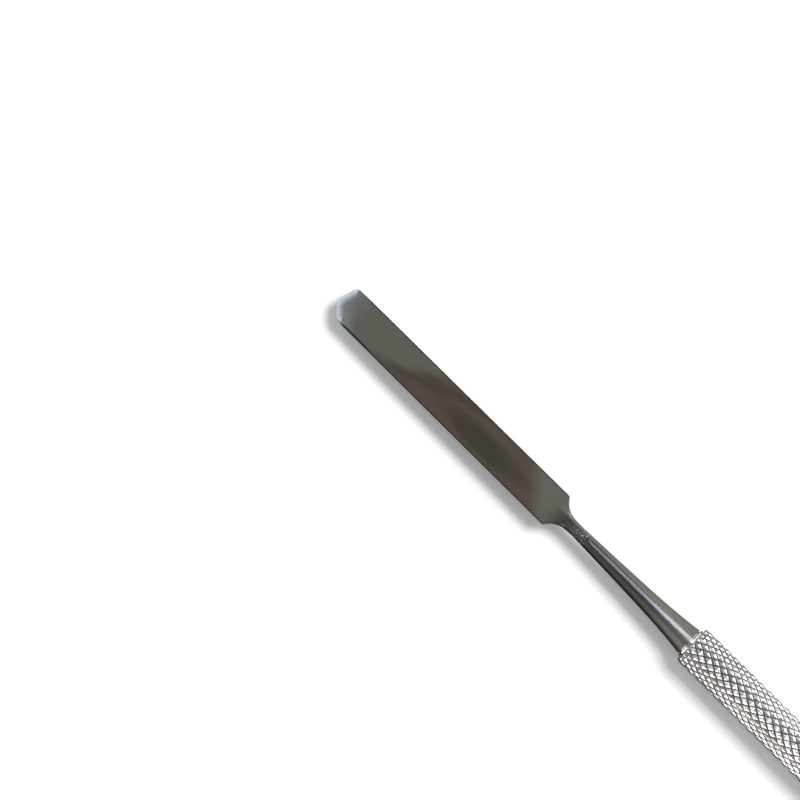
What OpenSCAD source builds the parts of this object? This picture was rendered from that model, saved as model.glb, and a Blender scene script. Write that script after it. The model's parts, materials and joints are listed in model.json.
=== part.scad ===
// Cuticle pusher: a forged flat blade on a round flared shank, whose tang is held by a
// turned bush in the mouth of a hollow knurled handle. A domed plug closes the far end.
// Millimetres. +X runs along the tool towards the blade's tip and +Z is square to the
// blade's flat. The origin is under the middle of the tool, on the surface it lies on.

/* [Tool] */
// Length from the blade's tip to the end of the plug's dome
tool_len = 150; // [140:1:170]
// Diameter of the handle over the crests of its knurling
handle_d = 6; // [6:0.1:7]

/* [Blade] */
// Length of the blade from its tip to its shoulders
blade_len = 42; // [34:0.5:46]
// Width of the blade behind its rounded tip
blade_tip_w = 5.3; // [5:0.05:5.4]
// Width of the blade at its shoulders
blade_root_w = 5.42; // [5.4:0.02:5.6]
// Thickness of the blade where the tip's bevels start
blade_tip_t = 0.6; // [0.5:0.05:0.7]
// Thickness of the blade at its shoulders
blade_root_t = 1.2; // [1:0.05:1.3]
// Length of the bevels that thin both faces at the tip
bevel_len = 0.85; // [0.5:0.05:1.2]
// Thickness of the tip's blunt edge
tip_edge_t = 0.2; // [0.1:0.05:0.3]
// Radius of the crown along the tip's front edge
tip_crown_r = 3.4; // [3:0.1:5]
// Radius of the tip's squarer corner
square_corner_r = 0.8; // [0.5:0.1:1.2]
// Width cut off the tip's other corner, which is clipped at 45 degrees
corner_clip = 2; // [1.6:0.1:2.4]

/* [Shank] */
// Length of the shank from the shoulders to the mouth of the handle
shank_len = 26.1; // [24:0.1:30]
// Distance from the shoulders back to the narrowest place of the neck
neck_back = 4.5; // [4:0.1:5]
// Diameter at the narrowest place of the neck
neck_d = 1.91; // [1.8:0.01:2.2]
// Diameter of the shank where it meets the bush
shank_end_d = 4.3; // [4:0.05:4.4]
// Thickness between the forged flats at the narrowest place of the neck
neck_flat_t = 1.76; // [1.7:0.02:1.8]
// Distance from the shoulders back to where the forged flats run out
flat_len = 7; // [6.5:0.1:8]
// Diameter of the tang inside the handle
tang_d = 3.2; // [2.8:0.1:3.4]
// Length of the tang behind the mouth of the handle
tang_len = 14; // [10:0.5:18]

/* [Mouth bush] */
// Diameter of the bright lip in front of the handle
lip_d = 4.6; // [4.5:0.05:4.7]
// Width of the lip
lip_len = 0.35; // [0.3:0.05:0.5]
// Length of the bush inside the handle
bush_len = 6; // [4:0.5:8]

/* [Handle] */
// Bore of the handle tube
handle_bore_d = 4.8; // [4.75:0.05:5]
// Chamfer on both ends of the tube
handle_chamfer = 0.25; // [0.1:0.05:0.4]

/* [End plug] */
// Length of the plug's spigot inside the handle
spigot_len = 6; // [4:0.5:8]
// Diameter of the plug's rim
rim_d = 5.6; // [5.4:0.1:5.8]
// Width of the plug's rim
rim_len = 0.5; // [0.4:0.1:0.8]
// Height of the plug's dome
dome_len = 1.4; // [1:0.1:1.6]

/* [Hidden] */

$fn = 96;
axis_z = handle_d / 2;
tip_x = tool_len / 2;
shoulder_x = tip_x - blade_len;
mouth_x = shoulder_x - shank_len;
tail_x = -tool_len / 2 + dome_len + rim_len;
handle_len = mouth_x - tail_x;

neck_r = neck_d / 2;
shank_end_r = shank_end_d / 2;
// Half thickness of the forging at the end of its flats, a little more than the shank has there
run_out_r = 1.15 * neck_r;
neck_to_end = shank_len - lip_len - neck_back;
shoulder_steps = 10;
flare_steps = 14;
flat_steps = 14;
// Small dark groove between the shank and the bush's lip
seam_len = 0.15;
seam_depth = 0.2;
// Point on the end of the tang, and chamfer on the edges of the turned pieces
tang_point = 0.8;
edge_break = 0.1;
// How far a cutting shape runs past what it cuts
overrun = 1;
// Share of the shank's flare that is straight; the rest bells out towards the bush
straight_share = 0.62;

// Radius of the shoulders' concave sweep, a distance behind the shoulders
function shoulder_r(back) =
    neck_r + (blade_root_w / 2 - neck_r) * pow(1 - back / neck_back, 4);

// Radius of the shank's flare, t from 0 at the neck to 1 at the bush
function flare_r(t) =
    neck_r + (shank_end_r - neck_r) * (straight_share * t + (1 - straight_share) * pow(t, 5));

// Half the thickness between the forged flats, a distance behind the shoulders
function flat_half_t(back) = back < neck_back
    ? (neck_flat_t + (blade_root_t - neck_flat_t) * pow(1 - back / neck_back, 3)) / 2
    : neck_flat_t / 2
        + (run_out_r - neck_flat_t / 2) * pow((back - neck_back) / (flat_len - neck_back), 2);

// Turns a profile of [radius, distance behind the shoulders] about the tool's axis
module turned(profile) {
    rotate([0, -90, 0]) rotate_extrude() polygon(profile);
}

// Plan of the blade: a tapered strip with a crowned tip, one rounded and one clipped corner
module blade_plan() {
    widest = blade_root_w + overrun;
    corner_half = blade_tip_w / 2;
    rounding_x = blade_len - square_corner_r;
    rounding_y = square_corner_r - corner_half;
    intersection() {
        polygon([
            [0, -blade_root_w / 2],
            [blade_len, -corner_half],
            [blade_len, corner_half - corner_clip],
            [blade_len - corner_clip, corner_half],
            [0, blade_root_w / 2]
        ]);
        union() {
            translate([0, -widest / 2]) square([rounding_x, widest]);
            translate([0, rounding_y]) square([blade_len, widest]);
            translate([rounding_x, rounding_y]) circle(r = square_corner_r);
        }
        union() {
            translate([0, -widest / 2]) square([blade_len - tip_crown_r, widest]);
            translate([blade_len - tip_crown_r, 0]) circle(r = tip_crown_r);
        }
    }
}

// Side view that cuts the forging: bevelled tip, tapered blade, flats that run out
module side_cut() {
    clear_of_shank = handle_d;
    upper = concat(
        [
            [blade_len, tip_edge_t / 2],
            [blade_len - bevel_len, blade_tip_t / 2],
            [0, blade_root_t / 2]
        ],
        [for (i = [1:flat_steps]) let (back = flat_len * i / flat_steps)
            [-back, flat_half_t(back)]],
        [[-flat_len, clear_of_shank], [-shank_len - tang_len - overrun, clear_of_shank]]
    );
    count = len(upper);
    lower = [for (i = [count - 1:-1:0]) [upper[i][0], -upper[i][1]]];
    rotate([90, 0, 0])
        linear_extrude(height = 2 * handle_d, center = true)
            polygon(concat(upper, lower));
}

// Blade, neck, shank and tang, forged and turned in one piece
module pusher_blade() {
    seam_back = shank_len - lip_len;
    tang_r = tang_d / 2;
    tang_end = shank_len + tang_len;
    color("slategray") translate([shoulder_x, 0, axis_z]) intersection() {
        union() {
            translate([0, 0, -blade_root_t]) linear_extrude(height = 2 * blade_root_t) blade_plan();
            turned(concat(
                [[0, 0]],
                [for (i = [0:shoulder_steps]) let (back = neck_back * i / shoulder_steps)
                    [shoulder_r(back), back]],
                [for (i = [1:flare_steps]) let (t = i / flare_steps)
                    [flare_r(t), neck_back + t * (neck_to_end - seam_len)]],
                [
                    [shank_end_r - seam_depth, seam_back - seam_len],
                    [shank_end_r - seam_depth, seam_back],
                    [tang_r, seam_back],
                    [tang_r, tang_end - tang_point],
                    [tang_r - tang_point / 2, tang_end],
                    [0, tang_end]
                ]
            ));
        }
        side_cut();
    }
}

// Turned bush that centres the tang and shows as a bright ring at the mouth
module mouth_bush() {
    lip_r = lip_d / 2;
    bush_r = handle_bore_d / 2;
    tang_r = tang_d / 2;
    color("gainsboro") translate([mouth_x, 0, axis_z]) turned([
        [tang_r, -lip_len],
        [lip_r - edge_break, -lip_len],
        [lip_r, edge_break - lip_len],
        [lip_r, 0],
        [bush_r, 0],
        [bush_r, bush_len - edge_break],
        [bush_r - edge_break, bush_len],
        [tang_r, bush_len]
    ]);
}

// Hollow handle, plain here at the diameter over the knurling's crests
module handle_tube() {
    outer_r = handle_d / 2;
    bore_r = handle_bore_d / 2;
    color("silver") translate([mouth_x, 0, axis_z]) difference() {
        turned([
            [0, 0],
            [outer_r - handle_chamfer, 0],
            [outer_r, handle_chamfer],
            [outer_r, handle_len - handle_chamfer],
            [outer_r - handle_chamfer, handle_len],
            [0, handle_len]
        ]);
        translate([-handle_len - overrun, 0, 0])
            rotate([0, 90, 0]) cylinder(r = bore_r, h = handle_len + 2 * overrun);
    }
}

// Domed plug pressed into the handle's far end
module end_plug() {
    rim_r = rim_d / 2;
    bore_r = handle_bore_d / 2;
    dome_r = (rim_r * rim_r + dome_len * dome_len) / (2 * dome_len);
    color("lightgray") translate([tail_x, 0, axis_z]) union() {
        turned([
            [0, -spigot_len],
            [bore_r - edge_break, -spigot_len],
            [bore_r, edge_break - spigot_len],
            [bore_r, 0],
            [rim_r, 0],
            [rim_r, rim_len],
            [0, rim_len]
        ]);
        intersection() {
            translate([dome_r - dome_len - rim_len, 0, 0]) rotate([0, 90, 0]) sphere(r = dome_r);
            translate([-rim_len - dome_len - overrun, 0, 0])
                rotate([0, 90, 0]) cylinder(r = rim_r, h = dome_len + overrun);
        }
    }
}

pusher_blade();
mouth_bush();
handle_tube();
end_plug();
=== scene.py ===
"""Visual model of a cuticle pusher.

A polished flat blade runs back into a flared round shank, which a bright turned bush holds in the
mouth of a diamond-knurled handle. A satin domed plug closes the far end. Lengths are in metres in
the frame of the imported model: +X runs to the blade's tip, +Z is square to the blade's flat, and
the tool's own axis is parallel to X.
"""

import json
import logging
import math
import random
from collections.abc import Callable, Sequence
from dataclasses import dataclass
from enum import Enum

import bmesh
import bpy
from mathutils import Matrix, Quaternion, Vector


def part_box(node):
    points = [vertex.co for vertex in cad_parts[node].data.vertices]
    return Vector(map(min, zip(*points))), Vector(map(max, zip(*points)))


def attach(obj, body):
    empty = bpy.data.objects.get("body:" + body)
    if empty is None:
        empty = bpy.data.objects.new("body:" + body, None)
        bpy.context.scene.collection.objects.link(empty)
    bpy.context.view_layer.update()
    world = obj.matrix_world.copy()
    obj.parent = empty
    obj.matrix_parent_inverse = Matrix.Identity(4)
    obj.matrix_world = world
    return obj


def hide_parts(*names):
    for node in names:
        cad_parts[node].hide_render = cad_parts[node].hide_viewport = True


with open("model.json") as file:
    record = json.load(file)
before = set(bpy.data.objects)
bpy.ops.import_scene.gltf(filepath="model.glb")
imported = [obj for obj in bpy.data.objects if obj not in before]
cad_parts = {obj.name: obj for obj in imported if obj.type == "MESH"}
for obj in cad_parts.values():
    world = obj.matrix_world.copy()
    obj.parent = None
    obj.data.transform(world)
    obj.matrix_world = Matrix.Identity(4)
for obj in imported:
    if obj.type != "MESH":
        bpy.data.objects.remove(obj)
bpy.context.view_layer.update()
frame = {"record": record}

MM = 0.001
BODY = "root"
WELD = 5e-8

log = logging.getLogger("cuticle_pusher")

Triple = tuple[float, float, float]
Colour = Triple
# Where a mark is absent, and where it is full
Fade = tuple[float, float]
Socket = bpy.types.NodeSocket


# ---------------------------------------------------------------- numbers


def mix(a: float, b: float, share: float) -> float:
    """Returns the value that lies share of the way from a to b."""
    return a + (b - a) * share


def ease(low: float, high: float, value: float) -> float:
    """Returns a smooth step from 0 at low to 1 at high.

    Args:
        low: The value at which the step starts.
        high: The value at which it ends. It may be below low.
        value: Where the step is read.

    Returns:
        A share from 0 to 1.
    """
    t = min(max((value - low) / (high - low), 0.0), 1.0)
    return t * t * (3 - 2 * t)


def soft_min(a: float, b: float, blend: float) -> float:
    """Returns the smaller of two values, rounded where they cross.

    Args:
        a: One value.
        b: The other value.
        blend: How near the two have to be before they round into each other.

    Returns:
        The rounded minimum.
    """
    share = min(max(0.5 + (b - a) / (2 * blend), 0.0), 1.0)
    return mix(b, a, share) - blend * share * (1 - share)


def spread(start: float, end: float, count: int) -> list[float]:
    """Returns count values from start, in even steps, with end left out."""
    return [mix(start, end, i / count) for i in range(count)]


def rounded_outline(corners: Sequence[Vector], radii: Sequence[float], step: float) -> list[Vector]:
    """Returns an open outline with its inner corners rounded, as points an even step apart.

    Args:
        corners: The outline's corners, ends included, as 2-D vectors.
        radii: A radius for each corner that isn't an end.
        step: The distance between the points that are returned.

    Returns:
        Points along the outline, both ends included.
    """
    arc_steps = 48
    path = [corners[0]]
    for before, corner, after, radius in zip(corners, corners[1:], corners[2:], radii):
        back, ahead = (before - corner).normalized(), (after - corner).normalized()
        half = back.angle(ahead) / 2
        centre = corner + (back + ahead).normalized() * (radius / math.sin(half))
        start = corner + back * (radius / math.tan(half)) - centre
        turn = -math.copysign(math.pi - 2 * half, back.cross(ahead))
        path += [
            centre + Matrix.Rotation(turn * i / arc_steps, 2) @ start for i in range(arc_steps + 1)
        ]
    path.append(corners[-1])
    lengths = [(b - a).length for a, b in zip(path, path[1:])]
    count = round(sum(lengths) / step)
    points, segment, done = [], 0, 0.0
    for i in range(count + 1):
        at = sum(lengths) * i / count
        while segment < len(lengths) - 1 and done + lengths[segment] < at:
            done += lengths[segment]
            segment += 1
        share = min((at - done) / lengths[segment], 1.0) if lengths[segment] else 0.0
        points.append(path[segment].lerp(path[segment + 1], share))
    return points


# ---------------------------------------------------------------- meshes


class Shading(Enum):
    """How a piece's faces meet."""

    FACETED = 0.0
    TURNED = math.radians(30)
    GROUND = math.radians(8)


def to_scene(name: str, bm: bmesh.types.BMesh) -> bpy.types.Object:
    """Puts a mesh in the scene.

    Args:
        name: The new object's name.
        bm: The mesh under construction. It is freed.

    Returns:
        The new object.
    """
    mesh = bpy.data.meshes.new(name)
    bm.to_mesh(mesh)
    bm.free()
    made = bpy.data.objects.new(name, mesh)
    bpy.context.scene.collection.objects.link(made)
    return made


def finish_mesh(name: str, bm: bmesh.types.BMesh, shading: Shading) -> bpy.types.Object:
    """Welds a mesh, turns its faces outwards and puts it in the scene.

    Args:
        name: The new piece's name.
        bm: The mesh under construction. It is freed.
        shading: Edges sharper than this choice's angle stay crisp.

    Returns:
        The new piece.
    """
    bmesh.ops.remove_doubles(bm, verts=bm.verts, dist=WELD)
    bmesh.ops.dissolve_degenerate(bm, edges=bm.edges, dist=WELD)
    bmesh.ops.recalc_face_normals(bm, faces=bm.faces)
    for face in bm.faces:
        face.smooth = shading is not Shading.FACETED
    for edge in bm.edges:
        edge.smooth = len(edge.link_faces) != 2 or edge.calc_face_angle(0) < shading.value
    return to_scene(name, bm)


def grid(bm: bmesh.types.BMesh, rows: Sequence[Sequence[Vector]], closed: bool = False) -> None:
    """Adds a sheet of quads.

    Args:
        bm: The mesh to add to.
        rows: Rows of points, all of one length.
        closed: Whether each row joins up with its own start.
    """
    made = [[bm.verts.new(p) for p in row] for row in rows]
    for row, after in zip(made, made[1:]):
        count = len(row) if closed else len(row) - 1
        for i in range(count):
            j = (i + 1) % len(row)
            bm.faces.new((row[i], row[j], after[j], after[i]))


def flat_sheet(name: str, length: float, width: float) -> bpy.types.Object:
    """Puts a flat sheet in the scene, centred on its own origin.

    Args:
        name: The sheet's name.
        length: Its size along its X.
        width: Its size along its Y.

    Returns:
        The sheet.
    """
    bm = bmesh.new()
    x, y = length / 2, width / 2
    grid(bm, [[Vector((-x, -y, 0)), Vector((x, -y, 0))], [Vector((-x, y, 0)), Vector((x, y, 0))]])
    return to_scene(name, bm)


def turned_mesh(bm: bmesh.types.BMesh, outline: Sequence[Vector], axis_z: float, sides: int) -> None:
    """Adds a body turned about the tool's axis.

    Args:
        bm: The mesh to add to.
        outline: Points of (distance along X, radius), from one end to the other.
        axis_z: Height of the axis.
        sides: How many flats make the round.
    """
    angles = [math.tau * i / sides for i in range(sides)]
    rows = [
        [Vector((p.x, p.y * math.cos(a), axis_z + p.y * math.sin(a))) for a in angles]
        for p in outline
    ]
    grid(bm, rows, closed=True)


# ---------------------------------------------------------------- shaders


class Signal:
    """A number that varies over a surface: an output socket that takes Python's operators."""

    def __init__(self, shader: "Shader", socket: Socket) -> None:
        """Wraps a socket.

        Args:
            shader: The shader that the socket belongs to.
            socket: The output that carries the number.
        """
        self.shader = shader
        self.socket = socket

    def math(self, operation: str, *values: "Signal | float") -> "Signal":
        """Returns the result of a Math node.

        Args:
            operation: The Math node's operation.
            values: What goes into its sockets, in order.

        Returns:
            The node's output.
        """
        made = self.shader.node("ShaderNodeMath", {"operation": operation}, dict(enumerate(values)))
        return Signal(self.shader, made.outputs[0])

    def __add__(self, other: "Signal | float") -> "Signal":
        """Returns self + other."""
        return self.math("ADD", self, other)

    def __sub__(self, other: "Signal | float") -> "Signal":
        """Returns self - other."""
        return self.math("SUBTRACT", self, other)

    def __rsub__(self, other: float) -> "Signal":
        """Returns other - self."""
        return self.math("SUBTRACT", other, self)

    def __mul__(self, other: "Signal | float") -> "Signal":
        """Returns self * other."""
        return self.math("MULTIPLY", self, other)

    __rmul__ = __mul__

    def __pow__(self, power: float) -> "Signal":
        """Returns self to a power."""
        return self.math("POWER", self, power)

    def step(self, low: float, high: float) -> "Signal":
        """Returns a smooth step from 0 at low to 1 at high.

        Args:
            low: The value at which the step starts.
            high: The value at which it ends. It may be below low.

        Returns:
            The step, from 0 to 1.
        """
        made = self.shader.node(
            "ShaderNodeMapRange",
            {"interpolation_type": "SMOOTHSTEP"},
            {"Value": self, "From Min": low, "From Max": high},
        )
        return Signal(self.shader, made.outputs[0])


class Shader:
    """A node tree, and the few ways in which this file adds to it."""

    def __init__(self, tree: bpy.types.NodeTree) -> None:
        """Starts from an empty tree."""
        self.tree = tree
        tree.nodes.clear()

    def node(self, kind: str, settings: dict | None = None, sockets: dict | None = None) -> bpy.types.Node:
        """Makes a node.

        Args:
            kind: The node's type.
            settings: Its settings, such as an operation.
            sockets: Values or links for its input sockets, by name or number.

        Returns:
            The new node.
        """
        made = self.tree.nodes.new(kind)
        for name, value in (settings or {}).items():
            setattr(made, name, value)
        for key, value in (sockets or {}).items():
            source = value.socket if isinstance(value, Signal) else value
            if isinstance(source, Socket):
                self.tree.links.new(source, made.inputs[key])
            else:
                made.inputs[key].default_value = source
        return made

    def position(self) -> tuple[Signal, Signal, Signal]:
        """Returns the surface point's X, Y and Z in the tool's frame.

        Returns:
            The three coordinates, in metres.
        """
        point = self.node("ShaderNodeTexCoord").outputs["Object"]
        split = self.node("ShaderNodeSeparateXYZ", None, {0: point})
        return tuple(Signal(self, split.outputs[i]) for i in range(3))

    def radius(self, axis_z: float) -> Signal:
        """Returns how far the surface point is from the tool's axis.

        Args:
            axis_z: Height of the axis.

        Returns:
            The distance, in metres.
        """
        _, y, z = self.position()
        up = z - axis_z
        return (y * y + up * up) ** 0.5

    def noise(self, size: Triple, detail: float, seed: float) -> Signal:
        """Returns cloudy noise around 0.5.

        Args:
            size: How long the blotches are along X, Y and Z, in metres.
            detail: How many finer layers are added.
            seed: Where in the pattern the tool lies.

        Returns:
            The noise, mostly from 0.3 to 0.7.
        """
        point = self.node("ShaderNodeTexCoord").outputs["Object"]
        scale = tuple(1 / length for length in size)
        sockets = {"Vector": point, "Location": (seed, seed, seed), "Scale": scale}
        mapped = self.node("ShaderNodeMapping", None, sockets)
        sockets = {"Vector": mapped.outputs[0], "Scale": 1.0, "Detail": detail}
        made = self.node("ShaderNodeTexNoise", None, sockets)
        return Signal(self, made.outputs[0])

    def blend(self, share: Signal, low: Colour | Socket, high: Colour | Socket) -> Socket:
        """Returns a colour between two.

        Args:
            share: Where it lies, from 0 to 1.
            low: The colour at 0.
            high: The colour at 1.

        Returns:
            The socket of the mixed colour.
        """
        # The Mix node's colour sockets come after its number and vector ones
        first, second, result = 6, 7, 2
        sockets = {0: share}
        for key, colour in ((first, low), (second, high)):
            sockets[key] = colour if isinstance(colour, Socket) else (*colour, 1.0)
        made = self.node("ShaderNodeMix", {"data_type": "RGBA", "clamp_factor": True}, sockets)
        return made.outputs[result]

    def bump(self, height: Signal, distance: float) -> Socket:
        """Returns a normal that a height field tilts.

        Args:
            height: The height, around 0 to 1.
            distance: How far a height of 1 stands out, in metres.

        Returns:
            The normal's socket.
        """
        return self.node("ShaderNodeBump", None, {"Height": height, "Distance": distance}).outputs[0]


def material(name: str, surface: Callable[[Shader], Socket]) -> bpy.types.Material:
    """Makes a material.

    Args:
        name: The material's name.
        surface: Takes the shader and returns the socket of its surface.

    Returns:
        The material.
    """
    made = bpy.data.materials.new(name)
    made.use_nodes = True
    shader = Shader(made.node_tree)
    shader.node("ShaderNodeOutputMaterial", None, {"Surface": surface(shader)})
    return made


def metal(name: str, dress: Callable[[Shader], dict]) -> bpy.types.Material:
    """Makes a bare-metal material.

    Args:
        name: The material's name.
        dress: Takes the shader and returns the values and links of the surface's sockets.

    Returns:
        The material.
    """

    def surface(shader: Shader) -> Socket:
        """Returns the metal's surface."""
        sockets = {"Metallic": 1.0} | dress(shader)
        return shader.node("ShaderNodeBsdfPrincipled", None, sockets).outputs[0]

    return material(name, surface)


@dataclass(frozen=True)
class BladePlace:
    """Where a point of the forging lies, as distances in metres that vary over its surface."""

    shader: Shader
    across: Signal
    behind_tip: Signal
    behind_shoulders: Signal
    inside_edge: Signal
    drift: Signal

    @classmethod
    def on(cls, blade: "PusherBlade", shader: Shader) -> "BladePlace":
        """Measures a point of the surface.

        Args:
            blade: The forging that the point lies on.
            shader: The shader that needs the distances.

        Returns:
            The distances. The drift is how far cloudy noise moves the boundaries of the painted
            reflections.
        """
        cloud_size, cloud_reach = (9 * MM, 2.5 * MM, 2.5 * MM), 8 * MM
        x, y, _ = shader.position()
        taper = (blade.root_w - blade.tip_w) / 2 / blade.blade_len
        return cls(
            shader=shader,
            across=y,
            behind_tip=blade.tool.tip_x - x,
            behind_shoulders=blade.shoulder_x - x,
            inside_edge=blade.root_w / 2 - (x - blade.shoulder_x) * taper - y.math("ABSOLUTE", y),
            drift=(shader.noise(cloud_size, 3, seed=4.7) - 0.5) * cloud_reach,
        )


@dataclass(frozen=True)
class BladeSteel:
    """Polished hard steel of the blade and shank, with hand-polishing marks and painted light in
    its colour: faint cloudy painted reflections, a painted blue reflection and highlight at the tip,
    painted shade along the edges, and painted reflection and shade on the shank.

    Fades along the tool are measured behind the tip, but brown_rear and the shank's own behind the
    shoulders, where a negative distance is in front of them. The dark heart is an ellipse.
    """

    blade: "PusherBlade"
    olive: Colour = (0.60, 0.62, 0.56)
    # Painted reflections: the brown and the dark colour below stand for the room reflected in the blade
    brown: Colour = (0.46, 0.36, 0.31)
    painted_dark_reflection: Colour = (0.23, 0.225, 0.19)
    # Painted reflection: the tip's pale blue; painted highlight: the near-white of the tip's bevels
    tip_reflected_blue: Colour = (0.78, 0.85, 0.92)
    frost_and_highlight: Colour = (0.93, 0.98, 1.0)
    # Painted light: a dark blue reflection on the relief bevel and a thin line of shade along the edges
    relief_dark_reflection: Colour = (0.10, 0.13, 0.20)
    edge_shade: Colour = (0.06, 0.06, 0.06)
    shank_grey: Colour = (0.62, 0.61, 0.57)
    # Painted light on the shank: a warm reflection on its +Y side and shade towards the neck
    shank_reflected_brown: Colour = (0.46, 0.43, 0.40)
    shank_shade: Colour = (0.13, 0.135, 0.14)
    pit_white: Colour = (0.5, 0.52, 0.5)
    blade_roughness: float = 0.13
    shank_roughness: float = 0.22
    blade_streaks: float = 0.6
    shank_streaks: float = 2.6
    bump_height: float = 0.004 * MM
    brown_front: Fade = (12.5 * MM, 16.5 * MM)
    brown_rear: Fade = (-1.5 * MM, -6 * MM)
    brown_front_lean: float = 1.46
    brown_rear_lean: float = 0.96
    fringe_front: Fade = (13.5 * MM, 16.5 * MM)
    fringe_rear: Fade = (20 * MM, 17.5 * MM)
    fringe_lean: float = 2.9
    fringe_depth: float = 0.45
    heart_place: tuple[float, float] = (28.5 * MM, 0.55 * MM)
    heart_half: tuple[float, float] = (9 * MM, 1.7 * MM)
    heart_fade: Fade = (1.4, 0.2)
    heart_depth: float = 0.75
    blue_fade: Fade = (5 * MM, 0.7 * MM)
    frost_and_highlight_fade: Fade = (2.6 * MM, 0.7 * MM)
    clip_gap: float = 0.35 * MM
    edge_start: Fade = (2.2 * MM, 3.4 * MM)
    line_fade: Fade = (0.19 * MM, 0.11 * MM)
    relief_fade: Fade = (0.36 * MM, 0.30 * MM)
    relief_side: Fade = (1 * MM, 1.2 * MM)
    relief_end: Fade = (9.5 * MM, 7 * MM)
    blade_start: Fade = (2 * MM, -1 * MM)
    warm_start: Fade = (3 * MM, 8 * MM)
    warm_side: Fade = (0.1 * MM, 0.7 * MM)
    dark_end: Fade = (27 * MM, 16 * MM)
    dark_side: Fade = (-0.75 * MM, -0.4 * MM)
    dark_depth: float = 0.85
    pits_rear: Fade = (7 * MM, 5 * MM)
    pits_front: Fade = (2.5 * MM, 4 * MM)

    def make(self) -> bpy.types.Material:
        """Returns the material for the blade and shank."""
        return metal("polished_blade_steel", self.dress)

    def dress(self, shader: Shader) -> dict:
        """Returns the surface's sockets.

        Args:
            shader: The material's shader.

        Returns:
            Values and links, by the socket's name.
        """
        place = BladePlace.on(self.blade, shader)
        tint, frost_and_highlight = self.tip(place, self.painted_reflections(place))
        tint = self.edges(place, tint)
        on_blade = place.behind_shoulders.step(*self.blade_start)
        colour = shader.blend(on_blade, self.shank(place), tint)
        streaks = shader.noise((6 * MM, 0.09 * MM, 0.09 * MM), 3, seed=1.3)
        specks = shader.noise((0.16 * MM, 0.16 * MM, 0.16 * MM), 2, seed=2.1)
        pitted = place.behind_shoulders.step(*self.pits_rear)
        pitted = pitted * place.behind_shoulders.step(*self.pits_front)
        pits = specks.step(0.60, 0.68) * pitted
        smooth = on_blade * (self.blade_roughness - self.shank_roughness) + self.shank_roughness
        marks = frost_and_highlight * 0.12 + (streaks - 0.5) * 0.10 + (specks - 0.5) * 0.06
        depth = on_blade * (self.blade_streaks - self.shank_streaks) + self.shank_streaks
        return {
            "Base Color": shader.blend(pits, colour, self.pit_white),
            "Metallic": pits * -0.8 + 1,
            "Roughness": smooth + marks,
            "Normal": shader.bump(streaks * depth + specks * (pitted * 3 + 0.3), self.bump_height),
        }

    def painted_reflections(self, place: BladePlace) -> Socket:
        """Returns olive steel with painted reflections: a slanting brown stretch, its dark fringe and its
        dark heart.

        Args:
            place: Where the point lies.

        Returns:
            The blade's colour away from its tip and edges.
        """
        shader, back, across, drift = place.shader, place.behind_tip, place.across, place.drift
        # Painted reflections: a slanting brown stretch, a dark fringe along its front edge and a dark
        # heart
        front = (back + self.brown_front_lean * across - 0.5 * drift).step(*self.brown_front)
        rear = place.behind_shoulders - self.brown_rear_lean * across - 0.5 * drift
        tint = shader.blend(front * rear.step(*self.brown_rear), self.olive, self.brown)
        slant = back + self.fringe_lean * across - drift
        fringe = slant.step(*self.fringe_front) * slant.step(*self.fringe_rear)
        tint = shader.blend(fringe * self.fringe_depth, tint, self.painted_dark_reflection)
        u = (back - drift - self.heart_place[0]) * (1 / self.heart_half[0])
        v = (across + drift * 0.1 - self.heart_place[1]) * (1 / self.heart_half[1])
        heart = (u * u + v * v).step(*self.heart_fade)
        return shader.blend(heart * self.heart_depth, tint, self.painted_dark_reflection)

    def tip(self, place: BladePlace, tint: Socket) -> tuple[Socket, Signal]:
        """Returns the colour with the tip's painted pale blue reflection and a painted highlight on its
        frosted bevels.

        Args:
            place: Where the point lies.
            tint: The colour so far.

        Returns:
            The new colour, and how frosted the steel is there, which is also how strong the painted
            highlight is.
        """
        shader = place.shader
        # Painted reflection: pale blue near the tip
        near = (place.behind_tip - place.drift * 0.4).step(*self.blue_fade)
        tint = shader.blend(near, tint, self.tip_reflected_blue)
        # Painted highlight: the bevels round the tip are painted near-white; the same mask roughens them
        from_clip = (place.behind_tip - place.across + self.clip_gap) * math.sqrt(0.5)
        from_edge = from_clip.math("MINIMUM", from_clip, place.behind_tip)
        rubbed = shader.noise((0.5 * MM, 0.16 * MM, 0.2 * MM), 3, seed=5.9).step(0.25, 0.65)
        frost_and_highlight = from_edge.step(*self.frost_and_highlight_fade) * (rubbed * 0.5 + 0.5)
        return shader.blend(frost_and_highlight, tint, self.frost_and_highlight), frost_and_highlight

    def edges(self, place: BladePlace, tint: Socket) -> Socket:
        """Returns the colour with painted shade as dark lines along the blade's edges and a painted dark
        blue reflection on the relief.

        Args:
            place: Where the point lies.
            tint: The colour so far.

        Returns:
            The new colour.
        """
        shader = place.shader
        started = place.behind_tip.step(*self.edge_start)
        # Painted shade: a thin dark line along both long edges
        line = place.inside_edge.step(*self.line_fade) * started
        tint = shader.blend(line, tint, self.edge_shade)
        # Painted reflection: the relief bevel on the +Y edge is painted dark blue
        relief = place.inside_edge.step(*self.relief_fade) * place.across.step(*self.relief_side)
        relief = relief * started * place.behind_tip.step(*self.relief_end)
        return shader.blend(relief, tint, self.relief_dark_reflection)

    def shank(self, place: BladePlace) -> Socket:
        """Returns the shank's grey, with a painted warm reflection on its +Y side and painted shade that
        darkens it towards the neck.

        Args:
            place: Where the point lies.

        Returns:
            The shank's colour.
        """
        shader = place.shader
        # Painted reflection: warmer on the +Y side
        warm = place.across.step(*self.warm_side) * place.behind_shoulders.step(*self.warm_start)
        colour = shader.blend(warm, self.shank_grey, self.shank_reflected_brown)
        # Painted shade: darker towards the neck, except on the -Y side
        dark = place.behind_shoulders.step(*self.dark_end) * place.across.step(*self.dark_side)
        return shader.blend(dark * self.dark_depth, colour, self.shank_shade)


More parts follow.
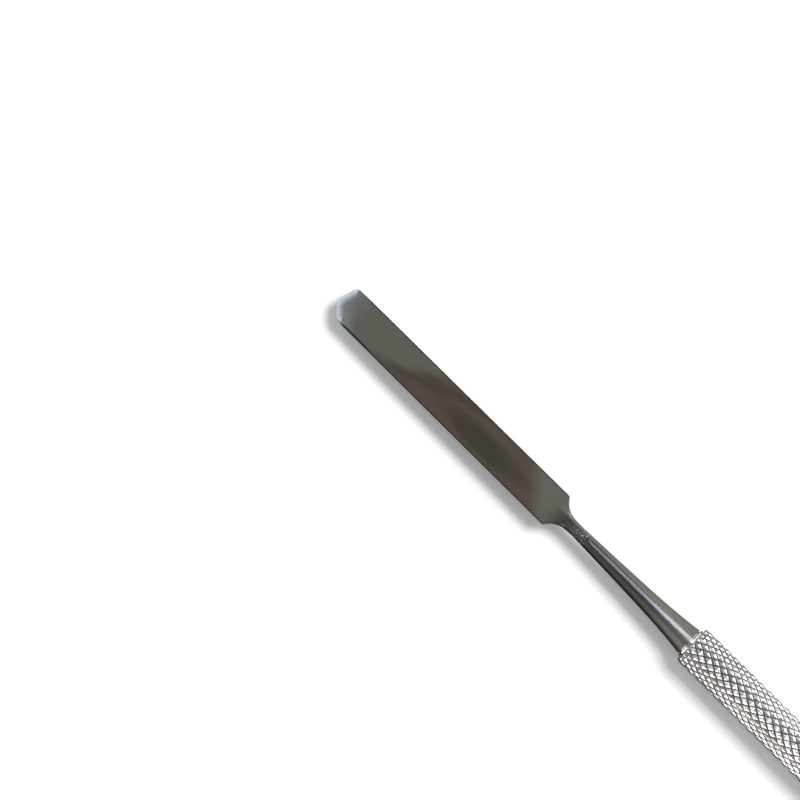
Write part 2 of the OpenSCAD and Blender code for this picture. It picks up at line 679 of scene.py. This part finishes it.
@dataclass(frozen=True)
class KnurlSteel:
    """Bright rolled steel with painted shade, a little warm, at the bottoms of its grooves, faint cloudy
    stains and dark flecks.
    """

    tool: "Tool"
    depth: float
    crest: Colour = (0.94, 0.94, 0.93)
    # Painted shade: the near-black that fills the bottoms of the grooves; the flecks use it too
    groove: Colour = (0.12, 0.10, 0.10)
    stain: Colour = (0.62, 0.56, 0.55)
    stain_depth: float = 0.25
    fleck_depth: float = 0.6
    crest_roughness: float = 0.28
    groove_roughness: float = 0.42
    grain_roughness: float = 0.12
    grain_height: float = 0.006 * MM
    bright_from: float = 0.85
    chamfer_fade: Fade = (0.3 * MM, 0.2 * MM)

    def make(self) -> bpy.types.Material:
        """Returns the material for the handle."""
        return metal("knurled_handle_steel", self.dress)

    def dress(self, shader: Shader) -> dict:
        """Returns the surface's sockets.

        Args:
            shader: The material's shader.

        Returns:
            Values and links, by the socket's name.
        """
        sunk = self.tool.handle_r - shader.radius(self.tool.axis_z)
        raised = sunk.step(self.depth, self.bright_from * self.depth)
        x, _, _ = shader.position()
        chamfer = (self.tool.mouth_x - x).step(*self.chamfer_fade)
        raised = raised.math("MAXIMUM", raised, chamfer)
        grain = shader.noise((0.12 * MM, 0.12 * MM, 0.12 * MM), 3, seed=6.2)
        stains = shader.noise((5 * MM, 2 * MM, 2 * MM), 2, seed=3.3).step(0.45, 0.75)
        flecks = shader.noise((0.5 * MM, 0.3 * MM, 0.3 * MM), 3, seed=7.7).step(0.54, 0.66)
        # Painted shade in the grooves: their bottoms are painted near-black
        colour = shader.blend(raised, self.groove, self.crest)
        colour = shader.blend(stains * self.stain_depth, colour, self.stain)
        colour = shader.blend(flecks * self.fleck_depth, colour, self.groove)
        roughness = raised * (self.crest_roughness - self.groove_roughness) + self.groove_roughness
        return {
            "Base Color": colour,
            "Roughness": roughness + (grain - 0.5) * self.grain_roughness,
            "Normal": shader.bump(grain, self.grain_height),
        }


@dataclass(frozen=True)
class TurnedSteel:
    """Steel fresh from the lathe, with fine rings left by the tool."""

    name: str
    axis_z: float
    colour: Colour
    roughness: float
    ring_pitch: float
    ring_depth: float
    ring_waver: float = 3.0
    ring_roughness: float = 0.06
    cloud_roughness: float = 0.08

    def make(self) -> bpy.types.Material:
        """Returns the material, with its rings about the tool's axis."""
        return metal(self.name, self.dress)

    def dress(self, shader: Shader) -> dict:
        """Returns the surface's sockets.

        Args:
            shader: The material's shader.

        Returns:
            Values and links, by the socket's name.
        """
        x, _, _ = shader.position()
        cloud = shader.noise((1 * MM, 1 * MM, 1 * MM), 2, seed=8.4)
        phase = (x + shader.radius(self.axis_z)) * (math.tau / self.ring_pitch)
        phase = phase + cloud * self.ring_waver
        rings = phase.math("SINE", phase) * 0.5 + 0.5
        marks = (rings - 0.5) * self.ring_roughness + (cloud - 0.5) * self.cloud_roughness
        return {
            "Base Color": (*self.colour, 1.0),
            "Roughness": marks + self.roughness,
            "Normal": shader.bump(rings, self.ring_depth),
        }


# ---------------------------------------------------------------- the tool


@dataclass(frozen=True)
class Tool:
    """Where the tool's pieces lie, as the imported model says."""

    tip_x: float
    lip_x: float
    mouth_x: float
    tail_x: float
    dome_x: float
    spigot_x: float
    bush_x: float
    tang_x: float
    axis_z: float
    handle_r: float

    @classmethod
    def from_frame(cls) -> "Tool":
        """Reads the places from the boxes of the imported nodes.

        Returns:
            The places.
        """
        blade_low, blade_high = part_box("pusher_blade")
        bush_low, bush_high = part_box("mouth_bush")
        tube_low, tube_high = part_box("handle_tube")
        plug_low, plug_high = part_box("end_plug")
        mount = frame["record"]["mounts"][0]
        return cls(
            tip_x=blade_high.x,
            lip_x=bush_high.x,
            mouth_x=tube_high.x,
            tail_x=tube_low.x,
            dome_x=plug_low.x,
            spigot_x=plug_high.x,
            bush_x=bush_low.x,
            tang_x=blade_low.x,
            axis_z=mount["pos_m"][2],
            handle_r=tube_high.y,
        )


@dataclass(frozen=True)
class Grind:
    """How an edge of the blade is ground: a bevel's width in plan, and how far it drops."""

    width: float
    drop: float

    def towards(self, other: "Grind", share: float) -> "Grind":
        """Returns the grind that lies share of the way to another."""
        return Grind(mix(self.width, other.width, share), mix(self.drop, other.drop, share))


FRONT_GRIND = Grind(1.15 * MM, 0.22 * MM)
CLIP_GRIND = Grind(0.95 * MM, 0.22 * MM)
RELIEF_GRIND = Grind(0.36 * MM, 0.19 * MM)
SIDE_GRIND = Grind(0.11 * MM, 0.08 * MM)


@dataclass(frozen=True)
class Section:
    """A cross-section of the forging behind the tip: half width, half thickness and shape."""

    x: float
    half_w: float
    half_t: float
    roundness: float


@dataclass
class PusherBlade:
    """The forging: a flat blade, a neck, a flared shank and the tang inside the handle."""

    tool: Tool
    blade_len: float = 42 * MM
    tip_w: float = 5.3 * MM
    root_w: float = 5.42 * MM
    tip_t: float = 0.6 * MM
    root_t: float = 1.2 * MM
    front_rake: float = 0.27
    clip_back: float = 2.1 * MM
    fan_len: float = 3.9 * MM
    relief_len: float = 9.5 * MM
    neck_flat_t: float = 1.76 * MM
    swell_ahead: float = 1.6 * MM
    shoulder_blend: float = 0.22 * MM
    round_fade: Fade = (-0.3 * MM, 1.2 * MM)
    straight_share: float = 0.62
    run_out_r: float = 1.1 * MM
    flat_len: float = 7 * MM
    neck_back: float = 4.5 * MM
    neck_r: float = 0.955 * MM
    shank_r: float = 2.15 * MM
    seam_len: float = 0.15 * MM
    seam_depth: float = 0.2 * MM
    tang_r: float = 1.6 * MM
    tang_point: float = 0.8 * MM
    bevel_belly: float = 0.7
    corner_back: float = 0.62 * MM
    corner_radii: Triple = (0.95 * MM, 1.3 * MM, 2.2 * MM)
    outline_step: float = 0.085 * MM
    edge_rows: int = 20
    face_rows: int = 6

    @property
    def shoulder_x(self) -> float:
        """Where the blade's straight sides end."""
        return self.tool.tip_x - self.blade_len

    def build(self) -> bpy.types.Object:
        """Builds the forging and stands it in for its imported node.

        Returns:
            The finished piece.
        """
        bm = bmesh.new()
        sections = self.sections()
        pole = Vector((self.tool.tip_x - self.fan_len, 0))
        spokes = [self.spoke(s, -1) for s in sections]
        spokes += self.tip_spokes(pole)
        spokes += [self.spoke(s, 1) for s in reversed(sections)]
        lift = Vector((0, 0, self.tool.axis_z))
        grid(bm, [[p + lift for p in row] for row in spokes])
        grid(bm, [[Vector((p.x, p.y, -p.z)) + lift for p in row] for row in spokes])
        bmesh.ops.remove_doubles(bm, verts=bm.verts, dist=WELD)
        bmesh.ops.holes_fill(bm, edges=[e for e in bm.edges if e.is_boundary])
        piece = finish_mesh("forged_blade_and_shank", bm, Shading.GROUND)
        piece.data.materials.append(BladeSteel(self).make())
        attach(piece, BODY)
        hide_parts("pusher_blade")
        return piece

    def blade_half_w(self, x: float) -> float:
        """Returns half the blade's width at a place along it."""
        share = (x - self.shoulder_x) / self.blade_len
        return mix(self.root_w, self.tip_w, share) / 2

    def blade_half_t(self, x: float) -> float:
        """Returns half the blade's thickness at a place along it."""
        bevel_x = self.tool.tip_x - FRONT_GRIND.width
        share = (x - self.shoulder_x) / (bevel_x - self.shoulder_x)
        return mix(self.root_t, self.tip_t, share) / 2

    def swept_r(self, back: float) -> float:
        """Returns the radius of the turned outline.

        Args:
            back: A distance behind the shoulders. It is negative in front of them.

        Returns:
            The radius there.
        """
        fall = self.root_w / 2 - self.neck_r
        if back < 0:
            return self.root_w / 2 - 4 * fall / self.neck_back * back
        if back < self.neck_back:
            return self.neck_r + fall * (1 - back / self.neck_back) ** 4
        seam_back = self.shoulder_x - self.tool.lip_x - self.seam_len
        t = (back - self.neck_back) / (seam_back - self.neck_back)
        flare = self.straight_share * t + (1 - self.straight_share) * t**5
        return mix(self.neck_r, self.shank_r, flare)

    def flat_half_t(self, back: float) -> float:
        """Returns half the distance between the forged flats.

        Args:
            back: A distance behind the shoulders. It is negative in front of them.

        Returns:
            Half the distance there.
        """
        if back < self.neck_back:
            swell = ease(-self.swell_ahead, self.neck_back, back)
            return mix(self.root_t, self.neck_flat_t, swell) / 2
        share = min((back - self.neck_back) / (self.flat_len - self.neck_back), 1) ** 2
        end = self.run_out_r if back < self.flat_len else self.shank_r
        return mix(self.neck_flat_t / 2, end, share)

    def section(self, x: float) -> Section:
        """Returns the cross-section at a place on the blade, neck or shank.

        Args:
            x: The place.

        Returns:
            The cross-section there.
        """
        back = self.shoulder_x - x
        half_w = soft_min(self.blade_half_w(x), self.swept_r(back), self.shoulder_blend)
        roundness = ease(*self.round_fade, back)
        taper = min(self.blade_half_t(x) - self.root_t / 2, 0)
        half_t = min(self.flat_half_t(back) + taper, half_w)
        return Section(x, half_w, half_t, roundness)

    def sections(self) -> list[Section]:
        """Returns the cross-sections, close together where the shape turns.

        Returns:
            The cross-sections from the tang's end to the tip's pole.
        """
        tool = self.tool
        seam_x = tool.lip_x + self.seam_len
        pole_x = tool.tip_x - self.fan_len
        # Where each stretch starts, and how many cross-sections it takes
        stretches = [
            (seam_x, 70),
            (self.shoulder_x - self.neck_back, 36),
            (self.shoulder_x - 0.7 * MM, 32),
            (self.shoulder_x + 0.7 * MM, 8),
            (self.shoulder_x + 1.7 * MM, 24),
            (tool.tip_x - self.relief_len, 12),
            (pole_x, 1),
        ]
        along = []
        for (start, count), (end, _) in zip(stretches, stretches[1:]):
            along += spread(start, end, count)
        along.append(pole_x)
        groove_r = self.shank_r - self.seam_depth
        inside = [
            (tool.tang_x, self.tang_r - self.tang_point / 2),
            (tool.tang_x + self.tang_point, self.tang_r),
            (tool.lip_x, self.tang_r),
            (tool.lip_x, groove_r),
            (seam_x, groove_r),
        ]
        return [Section(x, r, r, 1.0) for x, r in inside] + [self.section(x) for x in along]

    def side_grind(self, x: float, side: int) -> Grind:
        """Returns how the blade's long edge is ground.

        Args:
            x: A place along the edge.
            side: 1 for the +Y edge, -1 for the -Y edge.

        Returns:
            The grind there.
        """
        if side < 0:
            return SIDE_GRIND
        back = self.tool.tip_x - x
        return RELIEF_GRIND.towards(SIDE_GRIND, ease(self.fan_len, self.relief_len, back))

    def edge_profile(self, grind: Grind, half_t: float) -> list[tuple[float, float]]:
        """Returns an edge's rows as (distance in from the outline, height) pairs.

        Args:
            grind: How the edge is ground.
            half_t: Half the blade's thickness at the edge.

        Returns:
            The rows, from the middle of the edge up to where the flat starts.
        """
        land_rows = 2
        bevel_rows = self.edge_rows - land_rows
        land = half_t - grind.drop
        rows = [(0.0, land * i / land_rows) for i in range(land_rows)]
        for i in range(bevel_rows + 1):
            t = i / bevel_rows
            belly = self.bevel_belly * t * (1 - t)
            rows.append((grind.width * t, land + grind.drop * (t + belly)))
        return rows

    def spoke(self, section: Section, side: int) -> list[Vector]:
        """Returns the upper half of a cross-section, from one edge in to the middle.

        Args:
            section: The cross-section.
            side: 1 for the +Y edge, -1 for the -Y edge.

        Returns:
            Points relative to the tool's axis.
        """
        x, half_w, half_t = section.x, section.half_w, section.half_t
        arc = math.asin(half_t / half_w)
        points = []
        for i, (inset, height) in enumerate(self.edge_profile(self.side_grind(x, side), half_t)):
            angle = arc * i / self.edge_rows
            y = mix(half_w - inset, half_w * math.cos(angle), section.roundness)
            z = mix(height, half_w * math.sin(angle), section.roundness)
            points.append(Vector((x, side * y, z)))
        middle = Vector((x, 0, points[-1].z))
        rim = points[-1]
        return points + [rim.lerp(middle, i / self.face_rows) for i in range(1, self.face_rows + 1)]

    def tip_outline(self) -> list[Vector]:
        """Returns the tip's outline in plan.

        Returns:
            Points from the -Y side round the raked front and the clipped corner to the +Y side.
        """
        tip_x = self.tool.tip_x
        half_w = self.blade_half_w(tip_x)
        side_w = self.blade_half_w(tip_x - self.fan_len)
        apex_y = half_w - self.clip_back - 0.02 * MM
        apex_back = self.corner_back - self.front_rake * (half_w + apex_y)
        corners = [
            Vector((tip_x - self.fan_len, -side_w)),
            Vector((tip_x - self.corner_back, -half_w)),
            Vector((tip_x - apex_back, apex_y)),
            Vector((tip_x - apex_back - self.clip_back, half_w)),
            Vector((tip_x - self.fan_len, side_w)),
        ]
        outline = rounded_outline(corners, self.corner_radii, self.outline_step)
        shift = tip_x - max(p.x for p in outline)
        return [Vector((p.x + shift * ease(self.fan_len, 0, tip_x - p.x), p.y)) for p in outline]

    def tip_grind(self, heading: float) -> Grind:
        """Returns how the tip's edge is ground.

        Args:
            heading: Direction that the edge faces, in degrees from +X towards +Y.

        Returns:
            The grind there.
        """
        if heading < 0:
            return FRONT_GRIND.towards(SIDE_GRIND, ease(-22, -80, heading))
        clipped = FRONT_GRIND.towards(CLIP_GRIND, ease(10, 45, heading))
        return clipped.towards(RELIEF_GRIND, ease(47, 86, heading))

    def tip_spokes(self, pole: Vector) -> list[list[Vector]]:
        """Returns spokes that run from the tip's outline in to a pole on the blade's middle.

        Args:
            pole: Where the spokes meet, in plan.

        Returns:
            A row of points for each spoke.
        """
        outline = self.tip_outline()
        spokes = []
        for before, here, after in zip(outline, outline[1:], outline[2:]):
            along = (after - before).normalized()
            outward = Vector((along.y, -along.x))
            grind = self.tip_grind(math.degrees(math.atan2(outward.y, outward.x)))
            crease = here - outward * grind.width
            half_t = self.blade_half_t(crease.x)
            points = []
            for inset, height in self.edge_profile(grind, half_t):
                place = here - outward * inset
                points.append(Vector((place.x, place.y, height)))
            for i in range(1, self.face_rows + 1):
                place = crease.lerp(pole, i / self.face_rows)
                points.append(Vector((place.x, place.y, self.blade_half_t(place.x))))
            spokes.append(points)
        return spokes


@dataclass
class KnurledHandle:
    """The hollow handle, rolled with two crossing sets of grooves that leave diamonds."""

    tool: Tool
    starts: int = 18
    diamonds: int = 49
    depth: float = 0.14 * MM
    chamfer: float = 0.25 * MM
    bore_r: float = 2.4 * MM
    crown_rise: float = 0.06
    wear: tuple[float, float] = (0.8, 1.15)
    jitter: float = 0.012 * MM
    seed: int = 11
    stops: tuple[float, ...] = (0.0, 0.05, 0.42, 0.5, 0.58, 0.95)

    def build(self) -> bpy.types.Object:
        """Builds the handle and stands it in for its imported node.

        Returns:
            The finished piece.
        """
        bm = bmesh.new()
        rings = self.lattice(bm)
        self.knurl_faces(bm, rings)
        bore_front = self.bore_ring(bm, rings[0], self.tool.mouth_x)
        bore_back = self.bore_ring(bm, rings[-1], self.tool.tail_x)
        for one, other in ((rings[0], bore_front), (bore_front, bore_back), (bore_back, rings[-1])):
            for i in range(len(one)):
                j = (i + 1) % len(one)
                bm.faces.new((one[i], one[j], other[j], other[i]))
        self.break_ends(bm)
        piece = finish_mesh("knurled_handle", bm, Shading.FACETED)
        piece.data.materials.append(KnurlSteel(self.tool, self.depth).make())
        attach(piece, BODY)
        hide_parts("handle_tube")
        return piece

    def level(self, index: int) -> float:
        """Returns where a numbered lattice line lies, in grooves."""
        whole, part = divmod(index, len(self.stops))
        return whole + self.stops[part]

    def height(self, level: float, wear: float) -> float:
        """Returns how high one set of grooves leaves the surface.

        Args:
            level: A place across the set, in grooves.
            wear: How steep the flank of this groove is.

        Returns:
            The height, from 0 in a groove to 1 on a crest.
        """
        away = abs(level - round(level))
        root, crest = self.stops[1], self.stops[2]
        flank = min(max((away - root) / (crest - root), 0), 1)
        crown = max(0, (away - crest) / (0.5 - crest))
        return min(flank * wear, 1) * (1 - self.crown_rise + self.crown_rise * crown)

    def lattice(self, bm: bmesh.types.BMesh) -> list[list[bmesh.types.BMVert]]:
        """Adds the knurling's vertices, one ring for each step along the handle.

        Args:
            bm: The mesh to add to.

        Returns:
            The rings, from the mouth to the tail.
        """
        tool, rng = self.tool, random.Random(self.seed)
        per_unit = len(self.stops)
        around = self.starts * per_unit
        lines = self.starts + self.diamonds + 2
        wears = {family: [rng.uniform(*self.wear) for _ in range(2 * lines)] for family in "ab"}
        pitch = (tool.mouth_x - tool.tail_x) / self.diamonds
        rings = []
        for step in range(2 * self.diamonds * per_unit + 1):
            ring = []
            for i in range(around):
                total = 2 * i + step % 2
                a = self.level((total + step) // 2)
                b = self.level((total - step) // 2)
                high = min(
                    self.height(a, wears["a"][round(a) % self.starts]),
                    self.height(b, wears["b"][round(b) % self.starts]),
                )
                r = tool.handle_r - self.depth * (1 - high) - rng.uniform(0, self.jitter)
                angle = math.tau * (a + b) / 2 / self.starts
                x = tool.mouth_x - pitch * (a - b) / 2
                ring.append(bm.verts.new((x, r * math.cos(angle), tool.axis_z + r * math.sin(angle))))
            rings.append(ring)
        return rings

    def knurl_faces(self, bm: bmesh.types.BMesh, rings: list[list[bmesh.types.BMVert]]) -> None:
        """Joins the lattice with triangles that follow the diamonds' ridges.

        Args:
            bm: The mesh to add to.
            rings: The lattice's rings.
        """
        around = len(rings[0])
        per_unit = len(self.stops)
        last = len(rings) - 1
        for step, ring in enumerate(rings):
            odd = step % 2
            for i in range(around):
                near, far = ring[i], ring[(i + 1) % around]
                side = (i + odd) % around
                ahead = rings[step + 1][side] if step < last else None
                behind = rings[step - 1][side] if step else None
                if ahead is None or behind is None:
                    bm.faces.new((near, far, ahead or behind))
                    continue
                total = 2 * i + odd
                a, b = (total + step) // 2 % per_unit, (total - step) // 2 % per_unit
                if a + b == per_unit - 1:
                    bm.faces.new((near, ahead, behind))
                    bm.faces.new((far, behind, ahead))
                else:
                    bm.faces.new((near, far, ahead))
                    bm.faces.new((near, behind, far))

    def bore_ring(
        self, bm: bmesh.types.BMesh, rim: list[bmesh.types.BMVert], x: float
    ) -> list[bmesh.types.BMVert]:
        """Adds a ring of vertices on the bore, opposite a ring on the outside.

        Args:
            bm: The mesh to add to.
            rim: The ring on the outside.
            x: Where the bore's ring lies.

        Returns:
            The ring on the bore.
        """
        ring = []
        for vert in rim:
            across = Vector((0, vert.co.y, vert.co.z - self.tool.axis_z)).normalized() * self.bore_r
            ring.append(bm.verts.new((x, across.y, self.tool.axis_z + across.z)))
        return ring

    def break_ends(self, bm: bmesh.types.BMesh) -> None:
        """Turns a chamfer on both ends of the handle.

        Args:
            bm: The handle's mesh.
        """
        tool = self.tool
        for end, inward in ((tool.mouth_x, -1), (tool.tail_x, 1)):
            edge = Vector((end + inward * self.chamfer, 0, 0))
            everything = [*bm.verts, *bm.edges, *bm.faces]
            bmesh.ops.bisect_plane(bm, geom=everything, dist=WELD, plane_co=edge, plane_no=(1, 0, 0))
        for vert in bm.verts:
            reach = min(tool.mouth_x - vert.co.x, vert.co.x - tool.tail_x)
            limit = tool.handle_r - self.chamfer + max(reach, 0)
            across = Vector((0, vert.co.y, vert.co.z - tool.axis_z))
            if across.length > limit:
                across *= limit / across.length
                vert.co = Vector((vert.co.x, across.y, tool.axis_z + across.z))


@dataclass
class MouthBush:
    """The bright turned bush that shows as a thin ring between shank and handle."""

    tool: Tool
    lip_r: float = 2.3 * MM
    bush_r: float = 2.4 * MM
    tang_r: float = 1.6 * MM
    sides: int = 128

    def build(self) -> bpy.types.Object:
        """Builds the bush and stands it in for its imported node.

        Returns:
            The finished piece.
        """
        tool = self.tool
        bore_mid = Vector(((tool.lip_x + tool.bush_x) / 2, self.tang_r))
        corners = [
            bore_mid,
            Vector((tool.lip_x, self.tang_r)),
            Vector((tool.lip_x, self.lip_r)),
            Vector((tool.mouth_x, self.lip_r)),
            Vector((tool.mouth_x, self.bush_r)),
            Vector((tool.bush_x, self.bush_r)),
            Vector((tool.bush_x, self.tang_r)),
            bore_mid,
        ]
        radii = [r * MM for r in (0.04, 0.12, 0.02, 0.02, 0.1, 0.04)]
        bm = bmesh.new()
        turned_mesh(bm, rounded_outline(corners, radii, 0.03 * MM), tool.axis_z, self.sides)
        piece = finish_mesh("bright_mouth_bush", bm, Shading.TURNED)
        finish = TurnedSteel(
            name="bright_turned_steel",
            axis_z=tool.axis_z,
            colour=(0.88, 0.88, 0.87),
            roughness=0.14,
            ring_pitch=0.05 * MM,
            ring_depth=0.001 * MM,
        )
        piece.data.materials.append(finish.make())
        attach(piece, BODY)
        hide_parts("mouth_bush")
        return piece


@dataclass
class EndPlug:
    """The domed plug pressed into the handle's far end."""

    tool: Tool
    spigot_r: float = 2.4 * MM
    rim_r: float = 2.8 * MM
    rim_len: float = 0.5 * MM
    sides: int = 128

    def build(self) -> bpy.types.Object:
        """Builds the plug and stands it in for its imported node.

        Returns:
            The finished piece.
        """
        tool = self.tool
        rim_x = tool.tail_x - self.rim_len
        rise = rim_x - tool.dome_x
        dome_r = (self.rim_r**2 + rise**2) / (2 * rise)
        sweep = math.asin(self.rim_r / dome_r)
        dome = [
            Vector((tool.dome_x + dome_r * (1 - math.cos(t)), dome_r * math.sin(t)))
            for t in spread(0, sweep, 24)
        ]
        rim = [
            Vector((rim_x, self.rim_r)),
            Vector((tool.tail_x, self.rim_r)),
            Vector((tool.tail_x, self.spigot_r)),
            Vector((tool.spigot_x, self.spigot_r)),
            Vector((tool.spigot_x, 0)),
        ]
        radii = [r * MM for r in (0.12, 0.1, 0.02, 0.1)]
        outline = dome[:-1] + rounded_outline([dome[-1], *rim], radii, 0.04 * MM)
        bm = bmesh.new()
        turned_mesh(bm, outline, tool.axis_z, self.sides)
        piece = finish_mesh("domed_end_plug", bm, Shading.TURNED)
        finish = TurnedSteel(
            name="satin_turned_steel",
            axis_z=tool.axis_z,
            colour=(0.70, 0.70, 0.69),
            roughness=0.28,
            ring_pitch=0.11 * MM,
            ring_depth=0.002 * MM,
        )
        piece.data.materials.append(finish.make())
        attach(piece, BODY)
        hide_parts("end_plug")
        return piece


# ---------------------------------------------------------------- the studio


@dataclass(frozen=True)
class Card:
    """A glowing card that only shows in the metal's reflections."""

    name: str
    centre: Triple
    size: tuple[float, float]
    facing: Triple
    colour: Colour
    strength: float
    soft: tuple[float, float] = (0.12, 0.12)

    def build(self) -> bpy.types.Object:
        """Puts the card in the scene.

        Returns:
            The card.
        """
        card = flat_sheet(self.name, *self.size)
        card.location = self.centre
        card.rotation_mode = "QUATERNION"
        card.rotation_quaternion = self.turn()
        card.data.materials.append(material(self.name, self.glow))
        only_reflected(card)
        return card

    def turn(self) -> Quaternion:
        """Returns the rotation that faces the card the right way.

        Returns:
            The rotation, which keeps the card's length along X.
        """
        facing = Vector(self.facing).normalized()
        along = (Vector((1, 0, 0)) - facing * facing.x).normalized()
        return Matrix((along, facing.cross(along), facing)).transposed().to_quaternion()

    def glow(self, shader: Shader) -> Socket:
        """Returns the card's light.

        Args:
            shader: The card's shader.

        Returns:
            Its surface: full in the middle, soft at the edges and clear past them.
        """
        point = shader.node("ShaderNodeTexCoord").outputs["Generated"]
        split = shader.node("ShaderNodeSeparateXYZ", None, {0: point})
        u, v = Signal(shader, split.outputs[0]), Signal(shader, split.outputs[1])
        long_edge, short_edge = self.soft
        fade = u.step(0, long_edge) * u.step(1, 1 - long_edge)
        fade = fade * v.step(0, short_edge) * v.step(1, 1 - short_edge)
        sockets = {"Color": (*self.colour, 1.0), "Strength": fade * self.strength}
        light = shader.node("ShaderNodeEmission", None, sockets).outputs[0]
        clear = shader.node("ShaderNodeBsdfTransparent").outputs[0]
        sockets = {0: fade.step(0, 0.5), 1: clear, 2: light}
        return shader.node("ShaderNodeMixShader", None, sockets).outputs[0]


def only_reflected(thing: bpy.types.Object) -> None:
    """Hides an object from everything but reflections.

    Args:
        thing: The object.
    """
    thing.visible_camera = False
    thing.visible_diffuse = False
    thing.visible_transmission = False
    thing.visible_volume_scatter = False
    thing.visible_shadow = False


@dataclass
class Studio:
    """A pale floor, a soft key light, cards for the reflections and the camera."""

    tool: Tool
    floor_side: float = 3.0
    floor_white: float = 0.9
    key_height: float = math.radians(54.3)
    key_heading: float = math.radians(24)
    key_spread: float = math.radians(26)
    key_strength: float = 2.9
    ambient: float = 0.58
    room_right: Colour = (0.26, 0.27, 0.24)
    room_left: Colour = (0.05, 0.05, 0.055)
    room_high: Colour = (0.26, 0.27, 0.245)
    room_top: Colour = (0.18, 0.18, 0.165)
    view_width: float = 110.6 * MM
    camera_distance: float = 0.6
    camera_lean: float = math.radians(5)
    aim: tuple[float, float] = (59.1 * MM, 4.3 * MM)
    tool_heading: float = math.radians(135.42)

    def build(self) -> None:
        """Builds the whole setting."""
        bpy.context.scene.view_settings.view_transform = "Standard"
        self.build_floor()
        self.build_world()
        self.build_key()
        for card in self.cards():
            card.build()
        self.build_camera()

    def build_floor(self) -> None:
        """Lays the floor under the tool."""
        floor = flat_sheet("floor", self.floor_side, self.floor_side)
        floor.data.materials.append(material("pale_floor", self.floor_surface))
        floor.visible_glossy = False

    def floor_surface(self, shader: Shader) -> Socket:
        """Returns the floor's plain white surface."""
        white = (self.floor_white, self.floor_white, self.floor_white, 1.0)
        return shader.node("ShaderNodeBsdfDiffuse", None, {"Color": white}).outputs[0]

    def build_world(self) -> None:
        """Sets the surroundings: even light on the floor, a dim room in the reflections."""
        world = bpy.data.worlds.new("studio")
        bpy.context.scene.world = world
        world.use_nodes = True
        shader = Shader(world.node_tree)
        point = shader.node("ShaderNodeTexCoord").outputs["Generated"]
        split = shader.node("ShaderNodeSeparateXYZ", None, {0: point})
        y, z = Signal(shader, split.outputs[1]), Signal(shader, split.outputs[2])
        low = shader.blend(y.step(-0.4, 0.5), self.room_right, self.room_left)
        high = shader.blend(z.step(0.5, 0.95), self.room_high, self.room_top)
        room = shader.blend(z.step(-0.25, 0.3), low, high)
        even = (self.ambient, self.ambient, self.ambient)
        rays = shader.node("ShaderNodeLightPath")
        glossy = Signal(shader, rays.outputs["Is Glossy Ray"])
        camera = Signal(shader, rays.outputs["Is Camera Ray"])
        seen = shader.blend(glossy, even, room)
        seen = shader.blend(camera, seen, (1, 1, 1))
        sky = shader.node("ShaderNodeBackground", None, {"Color": seen})
        shader.node("ShaderNodeOutputWorld", None, {"Surface": sky.outputs[0]})

    def build_key(self) -> None:
        """Hangs the soft key light square to the tool, on its -Y side."""
        light = bpy.data.lights.new("key", "SUN")
        light.energy = self.key_strength
        light.angle = self.key_spread
        key = bpy.data.objects.new("key", light)
        bpy.context.scene.collection.objects.link(key)
        level = Vector((-math.sin(self.key_heading), -math.cos(self.key_heading), 0))
        towards = level * math.cos(self.key_height) + Vector((0, 0, math.sin(self.key_height)))
        key.rotation_mode = "QUATERNION"
        key.rotation_quaternion = towards.to_track_quat("Z", "Y")
        key.visible_glossy = False

    def cards(self) -> list[Card]:
        """Returns the cards that the metal reflects.

        Returns:
            A sky past the tip, a card over the shank, and a tall card on each side of the handle.
        """
        tool = self.tool
        far_x = tool.tail_x - 30 * MM
        window_x, door_x = tool.mouth_x + 5 * MM, tool.mouth_x + 14 * MM
        return [
            Card(
                name="sky_card",
                centre=(0.20, 0, 0.12),
                size=(0.28, 0.30),
                facing=(0, 0, -1),
                colour=(0.86, 0.93, 1),
                strength=0.85,
                soft=(0.5, 0.12),
            ),
            Card(
                name="shank_card",
                centre=(0.010, -0.042, 0.115),
                size=(0.07, 0.07),
                facing=(0, 0.35, -1),
                colour=(0.84, 0.92, 1),
                strength=2.6,
                soft=(0.2, 0.12),
            ),
            Card(
                name="window_card",
                centre=((window_x + far_x) / 2, -0.075, 0.03),
                size=(window_x - far_x, 0.14),
                facing=(0, 1, 0),
                colour=(1, 1, 1),
                strength=2.5,
            ),
            Card(
                name="door_card",
                centre=((door_x + far_x) / 2, 0.075, 0.04),
                size=(door_x - far_x, 0.12),
                facing=(0, -1, 0),
                colour=(1, 0.98, 0.97),
                strength=2.5,
            ),
        ]

    def build_camera(self) -> None:
        """Hangs the camera over the tool, leaning a little from the handle's side."""
        data = bpy.data.cameras.new("camera")
        data.sensor_width = 36.0
        data.lens = data.sensor_width * self.camera_distance / self.view_width
        camera = bpy.data.objects.new("camera", data)
        bpy.context.scene.collection.objects.link(camera)
        back = Vector((-math.sin(self.camera_lean), 0, math.cos(self.camera_lean)))
        heading = self.tool_heading
        right = Vector((math.cos(heading), -math.sin(heading), 0))
        right = (right - back * right.dot(back)).normalized()
        up = back.cross(right)
        turn = Matrix((right, up, back)).transposed()
        camera.rotation_mode = "QUATERNION"
        camera.rotation_quaternion = turn.to_quaternion()
        camera.location = Vector((*self.aim, self.tool.axis_z)) + back * self.camera_distance
        data.clip_start = 0.01
        data.clip_end = 10
        bpy.context.scene.camera = camera


def main() -> None:
    """Builds the tool and its setting, and reports each piece."""
    logging.basicConfig(level=logging.INFO, format="%(name)s: %(message)s")
    tool = Tool.from_frame()
    for part in (PusherBlade(tool), MouthBush(tool), KnurledHandle(tool), EndPlug(tool)):
        piece = part.build()
        log.info("%s: %d faces", piece.name, len(piece.data.polygons))
    Studio(tool).build()


if __name__ == "__main__":
    main()
